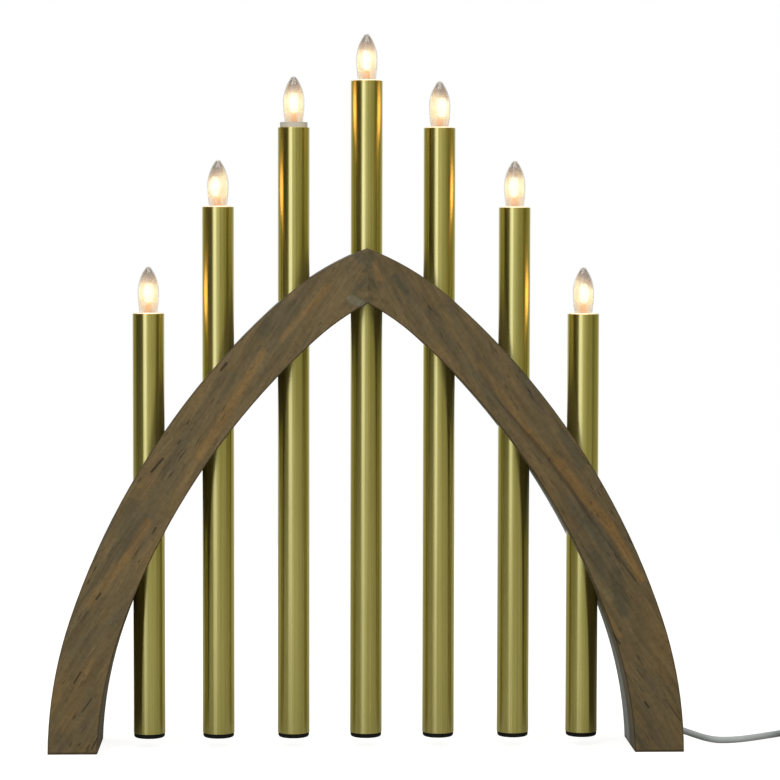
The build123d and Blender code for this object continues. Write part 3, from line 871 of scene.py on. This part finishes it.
outer_line = envelope_line(0.0)
lamp_top = outer_line[-1].y
print("outline points on an envelope:", len(outer_line))

# %% Mix the smoky glass
glass_tones = [(0.3, (0.78, 0.755, 0.71)), (0.7, (0.84, 0.815, 0.77))]


def smoky_glass():
    """Clear glass with a faint grey cast."""
    finish, tree, shader = new_finish("smoky_glass")
    ripple = noise(tree, object_place(tree), 160.0, detail=1.0)
    tree.links.new(ramp(tree, ripple, glass_tones), shader.inputs["Base Color"])
    shader.inputs["Transmission Weight"].default_value = 1.0
    shader.inputs["IOR"].default_value = 1.45
    shader.inputs["Roughness"].default_value = 0.04
    return finish


glass_finish = smoky_glass()
print("mixed", glass_finish.name)

# %% [markdown]
# A lamp's colours follow its own height, not the height above the floor. So each lamp mesh
# below carries a number at every point: how far the point is above the lamp's seat. The
# finishes read it as an attribute, and all seven lamps share them.

# %% Mix the frosted coat
coat_glow = 0.82
coat_tones = [
    (0.00, (0.78, 0.68, 0.56)), (0.16, (0.82, 0.68, 0.51)), (0.27, (0.90, 0.81, 0.57)),
    (0.45, (0.94, 0.89, 0.67)), (0.59, (0.90, 0.80, 0.58)), (0.68, (0.62, 0.49, 0.37)),
    (0.78, (0.40, 0.32, 0.265)), (0.88, (0.25, 0.225, 0.20)), (1.0, (0.25, 0.215, 0.19)),
]
coat_cover = [
    (0.0, grey(0.26)), (0.18, grey(0.34)), (0.31, grey(0.66)),
    (0.62, grey(0.66)), (0.68, grey(0.52)), (1.0, grey(0.42)),
]


def lamp_share(tree, whole):
    """Height above a lamp's seat, as a share of a whole height."""
    height = add_node(tree, "ShaderNodeAttribute", attribute_name="lamp_height")
    return sums(tree, "DIVIDE", height.outputs["Fac"], whole)


def frosted_coat():
    """The warm light that the frosted inside of the glass gives off, by height."""
    finish, tree, shader = new_finish("frosted_coat")
    cloud = noise(tree, object_place(tree), 300.0, detail=2.0)
    cloud = sums(tree, "MULTIPLY", sums(tree, "SUBTRACT", cloud, 0.5), 0.10)
    share = sums(tree, "ADD", lamp_share(tree, lamp_top), cloud)
    glow = ramp(tree, share, coat_tones)
    frost = mix_colours(tree, 1.0, glow, grey(0.65), "MULTIPLY")
    tree.links.new(frost, shader.inputs["Base Color"])
    tree.links.new(glow, shader.inputs["Emission Color"])
    shader.inputs["Emission Strength"].default_value = coat_glow
    shader.inputs["Roughness"].default_value = 0.8
    tree.links.new(ramp(tree, share, coat_cover), shader.inputs["Alpha"])
    return finish


coat_finish = frosted_coat()
print("mixed", coat_finish.name)

# %% Mix the glowing core
core_glow = 5.0
core_reach = 0.024
core_tones = [
    (0.32, (1.0, 0.76, 0.44)), (0.45, (1.0, 0.92, 0.78)), (0.62, (1.0, 0.97, 0.90)),
    (0.85, (1.0, 0.92, 0.78)), (1.0, (1.0, 0.76, 0.44)),
]


def glowing_core():
    """The lit core: nearly white in the middle, cream at its ends."""
    finish, tree, shader = new_finish("glowing_core")
    glow = ramp(tree, lamp_share(tree, core_reach), core_tones)
    tree.links.new(glow, shader.inputs["Emission Color"])
    tree.links.new(glow, shader.inputs["Base Color"])
    shader.inputs["Emission Strength"].default_value = core_glow
    return finish


core_finish = glowing_core()
print("mixed", core_finish.name)

# %% Mix the mount
mount_glow = 0.75
mount_reach = 0.009
mount_tones = [(0.0, (0.56, 0.25, 0.07)), (0.6, (0.70, 0.30, 0.05)), (1.0, (1.0, 0.58, 0.18))]


def amber_mount():
    """The glass foot that the filament stands on, lit orange from above."""
    finish, tree, shader = new_finish("amber_mount")
    glow = ramp(tree, lamp_share(tree, mount_reach), mount_tones)
    tree.links.new(glow, shader.inputs["Base Color"])
    tree.links.new(glow, shader.inputs["Emission Color"])
    shader.inputs["Emission Strength"].default_value = mount_glow
    shader.inputs["Roughness"].default_value = 0.3
    return finish


mount_finish = amber_mount()
print("mixed", mount_finish.name)

# %% [markdown]
# The envelope is a shell with an outer and an inner line. The coat is a thinner shell just
# inside it, and the core is a spindle that stands on the mount. No two lamps are screwed in
# alike, so some cores stand a little off their axis, and the edge of some lights runs aslant.

# %% Turn a lamp's pieces
neck_drop = 0.0044
# The slant grows from nothing at this share of a lamp's height to its full value at twice it.
slant_share = 0.3


def lamp_piece(name, number, profile, across, finish, segments, closed=True, slant=0.0):
    """A turned piece of one lamp: its profile is given above the seat, its colours may slant."""
    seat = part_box(f"bulb_glass_{number}")[0].z + neck_drop
    lifted = [(point[0], point[1] + seat) for point in profile]
    piece = turned(f"{name}_{number}", across, lifted, segments, closed)
    heights = piece.data.attributes.new("lamp_height", "FLOAT", "POINT")
    for entry, vertex in zip(heights.data, piece.data.vertices):
        rise = vertex.co.z - seat
        growth = min(1.0, max(0.0, rise / (slant_share * lamp_top) - 1.0))
        entry.value = rise + slant * growth * (vertex.co.x - across)
    piece.data.materials.append(finish)
    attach(piece, f"bulb_{number}")
    return piece


def spindle(low, high, radius, steps=16, fullness=0.6):
    """An outline from axis to axis, nearly straight-sided, with round ends."""
    line = []
    for step in range(steps + 1):
        turn = math.pi * step / steps
        height = (low + high) / 2 - (high - low) / 2 * math.cos(turn)
        line.append((radius * math.sin(turn) ** fullness if 0 < step < steps else 0.0, height))
    return line


print("a lamp stands", round(lamp_top / millimetre, 1), "mm above its seat")

# %% Line up the lamp's profiles
# How deep the coat's two faces lie under the outer face of the glass, in walls of the glass.
coat_front_depth = 1.4
coat_back_depth = 1.7
core_foot = 0.0078
core_top = 0.0220
core_radius = 0.0036
mount_line = [
    (0.0, 0.0078), (0.0008, 0.0076), (0.0018, 0.0066), (0.0025, 0.0044), (0.0030, 0.0010),
    (0.0032, -0.0040), (0.0, -0.0040),
]
inner_line = envelope_line(glass_wall)
coat_line = envelope_line(glass_wall * coat_front_depth)
coat_back = envelope_line(glass_wall * coat_back_depth)
core_line = spindle(core_foot, core_top, core_radius)
print("core", round((core_top - core_foot) / millimetre, 1), "mm long")

# %% Build the seven lamps
# How far each core stands off its lamp's axis, to the right.
core_offsets = [0.0, -0.0022, 0.0, -0.0003, 0.0021, -0.0008, 0.0006]
# How much the edge of the light falls to the right in each lamp.
glow_slants = [0.10, -0.50, 0.0, 0.0, 0.30, 0.0, 0.60]
for number in lamp_numbers:
    low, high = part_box(f"bulb_glass_{number}")
    across = (low.x + high.x) / 2
    glass = lamp_piece("lamp_glass", number, [*outer_line, *reversed(inner_line)], across,
                       glass_finish, segments=64)
    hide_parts(f"bulb_glass_{number}")
    lamp_piece("lamp_coat", number, [*coat_line, *reversed(coat_back)], across,
               coat_finish, segments=48, slant=glow_slants[number - 1])
    core_place = across + core_offsets[number - 1]
    core = lamp_piece("lamp_core", number, core_line, core_place,
                      core_finish, segments=32, closed=False)
    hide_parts(f"bulb_filament_{number}")
    lamp_piece("lamp_mount", number, mount_line, across,
               mount_finish, segments=32, closed=False)
print("built", len(core_offsets), "lamps")

# %% [markdown]
# A lit lamp is far brighter than a picture can hold, and its mirror image in the next tube
# shows it: a deep orange streak where the lamp itself is only white. So each lamp gets a small
# soft light of its own, and light linking keeps that light to the tubes.

# %% Light the tubes from the lamps
glow_radius = 0.018
glow_rise = 0.0170
glow_watts = 0.030
glow_colour = (1.0, 0.46, 0.12)
mirroring = bpy.data.collections.new("mirroring_tubes")
for tube in brass_tubes:
    mirroring.objects.link(tube)
for number in lamp_numbers:
    low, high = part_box(f"bulb_glass_{number}")
    glow_data = bpy.data.lights.new(f"lamp_glow_{number}", "POINT")
    glow_data.shadow_soft_size = glow_radius
    glow_data.energy = glow_watts
    glow_data.color = glow_colour
    glow_data.use_soft_falloff = False
    glow = bpy.data.objects.new(f"lamp_glow_{number}", glow_data)
    glow.location = ((low.x + high.x) / 2, 0, low.z + neck_drop + glow_rise)
    glow.visible_camera = False
    glow.light_linking.receiver_collection = mirroring
    bpy.context.scene.collection.objects.link(glow)
print("glow lights:", len(lamp_numbers))

# %% [markdown]
# A lamp's base is a brass shell rolled into a coarse round thread. The frame keeps it as a
# plain cylinder, which is enough to hold and to turn. Here it is stacked from rings, as on the
# lathe, whose radius swings once round and once per pitch. That alone winds a true screw.

# %% Wind a thread
inch = 0.0254
thread_pitch = 0.001814
thread_depth = 0.0005
rows_per_pitch = 8
thread_segments = 48


def rolled_thread(name, across, low, high, crest):
    """A closed screw shell between two heights, plain at both ends."""
    form = bmesh.new()
    rows = round((high - low) / thread_pitch * rows_per_pitch)
    rings = []
    for row in range(rows + 1):
        rise = (high - low) * row / rows
        fade = min(1.0, min(rise, high - low - rise) / thread_pitch)
        ring = []
        for step in range(thread_segments):
            turn = 2 * math.pi * step / thread_segments
            swing = 0.5 + 0.5 * math.cos(2 * math.pi * rise / thread_pitch - turn)
            radius = crest - thread_depth * (1 - fade * swing)
            place = (across + radius * math.cos(turn), radius * math.sin(turn), low + rise)
            ring.append(form.verts.new(place))
        rings.append(ring)
    for ring, above in zip(rings, rings[1:]):
        for step in range(thread_segments):
            after = (step + 1) % thread_segments
            form.faces.new((ring[step], ring[after], above[after], above[step]))
    form.faces.new(reversed(rings[0]))
    form.faces.new(rings[-1])
    return smooth_piece(name, form)


print("threads to the inch:", round(inch / thread_pitch, 1))

# %% Roll the threads of the lamp bases
lamp_threads = []
for number in lamp_numbers:
    low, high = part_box(f"bulb_screw_{number}")
    across = (low.x + high.x) / 2
    crest = (high.x - low.x) / 2
    thread = rolled_thread(f"lamp_thread_{number}", across, low.z, high.z, crest)
    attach(thread, f"bulb_{number}")
    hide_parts(f"bulb_screw_{number}")
    lamp_threads.append(thread)
print("rolled", len(lamp_threads), "threads,", round((high.z - low.z) / millimetre, 1), "mm long")

# %% [markdown]
# ## The small parts
# Caps, holders, bush, plug and the metal in the holders keep the shapes of the frame. They only
# need their finishes: soft black plastic, a warm pale plastic, plain sprung metal, and so on.

# %% Mix plastics and metals


def moulded_plastic(name, light, dark, roughness, gloss=0.5, lit=0.0):
    """Moulded plastic: a faint mottle, a fine leather-like surface and, where lit is set, a painted
    glow.
    """
    finish, tree, shader = new_finish(name)
    place = object_place(tree)
    mottle = noise(tree, place, 60.0)
    tree.links.new(ramp(tree, mottle, [(0.3, dark), (0.7, light)]), shader.inputs["Base Color"])
    shader.inputs["Roughness"].default_value = roughness
    shader.inputs["Specular IOR Level"].default_value = gloss
    # A painted glow: the plastic gives off light of its own lighter colour, by the amount lit.
    shader.inputs["Emission Color"].default_value = (*light, 1.0)
    shader.inputs["Emission Strength"].default_value = lit
    grains = noise(tree, place, 900.0, detail=2.0)
    feeds = {"Height": grains, "Strength": 0.3, "Distance": 0.00004}
    relief = add_node(tree, "ShaderNodeBump", feeds)
    tree.links.new(relief.outputs[0], shader.inputs["Normal"])
    return finish


def drawn_metal(name, light, dark, roughness):
    """Bright drawn metal with a slightly uneven polish."""
    finish, tree, shader = new_finish(name)
    mottle = noise(tree, object_place(tree), 220.0)
    tree.links.new(ramp(tree, mottle, [(0.3, dark), (0.7, light)]), shader.inputs["Base Color"])
    shader.inputs["Metallic"].default_value = 1.0
    feeds = {"Value": mottle, "To Min": roughness * 0.8, "To Max": roughness * 1.3}
    rough = add_node(tree, "ShaderNodeMapRange", feeds)
    tree.links.new(rough.outputs[0], shader.inputs["Roughness"])
    return finish


print("plastic and metal ready")

# %% Mix the small parts' finishes
cap_finish = moulded_plastic("cap_rubber", grey(0.006), grey(0.003), 0.6, gloss=0.15)
ivory = (0.44, 0.41, 0.33), (0.38, 0.35, 0.28)
holder_finish = moulded_plastic("holder_ivory", *ivory, 0.45)
# The holders' rims get a lighter copy of the ivory and a painted glow, standing in for the lamps'
# light on them.
glow_painted_ivory = (0.86, 0.80, 0.66), (0.78, 0.72, 0.58)
glow_painted_holder_finish = moulded_plastic("holder_painted_glow", *glow_painted_ivory, 0.45, lit=0.35)
bush_finish = moulded_plastic("bush_grey", (0.16, 0.16, 0.155), (0.12, 0.12, 0.118), 0.5)
sheath_grey = (0.34, 0.365, 0.357), (0.28, 0.302, 0.296)
sheath_finish = moulded_plastic("cord_sheath", *sheath_grey, 0.45)
plug_finish = moulded_plastic("plug_grey", (0.42, 0.44, 0.43), (0.37, 0.39, 0.385), 0.4)
sleeve_finish = moulded_plastic("wire_sleeve", (0.60, 0.58, 0.52), (0.52, 0.50, 0.45), 0.5)
thread_finish = drawn_metal("lamp_brass", (0.66, 0.56, 0.30), (0.56, 0.46, 0.24), 0.3)
contact_finish = drawn_metal("contact_tin", (0.60, 0.60, 0.58), (0.50, 0.50, 0.48), 0.35)
pin_finish = drawn_metal("pin_nickel", (0.70, 0.69, 0.66), (0.60, 0.59, 0.57), 0.22)
print("finishes so far:", len(bpy.data.materials))

# %% Dress the small parts
# The third holder has slid up out of its tube, so its rim stands too high to catch the glow, and it
# gets no painted glow.
raised_holder = 3
for number in lamp_numbers:
    dress(f"end_cap_{number}", cap_finish)
    dress(f"lamp_holder_{number}", holder_finish if number == raised_holder else glow_painted_holder_finish)
    lamp_threads[number - 1].data.materials.append(thread_finish)
    dress(f"bulb_contact_{number}", contact_finish)
dress("holder_contacts", contact_finish)
dress("internal_wiring", sleeve_finish)
dress("cord_gland", bush_finish)
dress("plug_body", plug_finish)
dress("plug_pins", pin_finish)
cord_curve.materials.append(sheath_finish)
print("small parts finished")

# %% [markdown]
# ## Measure the dressed arch
# The dressed arch has to stay inside the frame's box; here the box round it is measured.

# %% Measure the dressed arch's box
low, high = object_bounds()
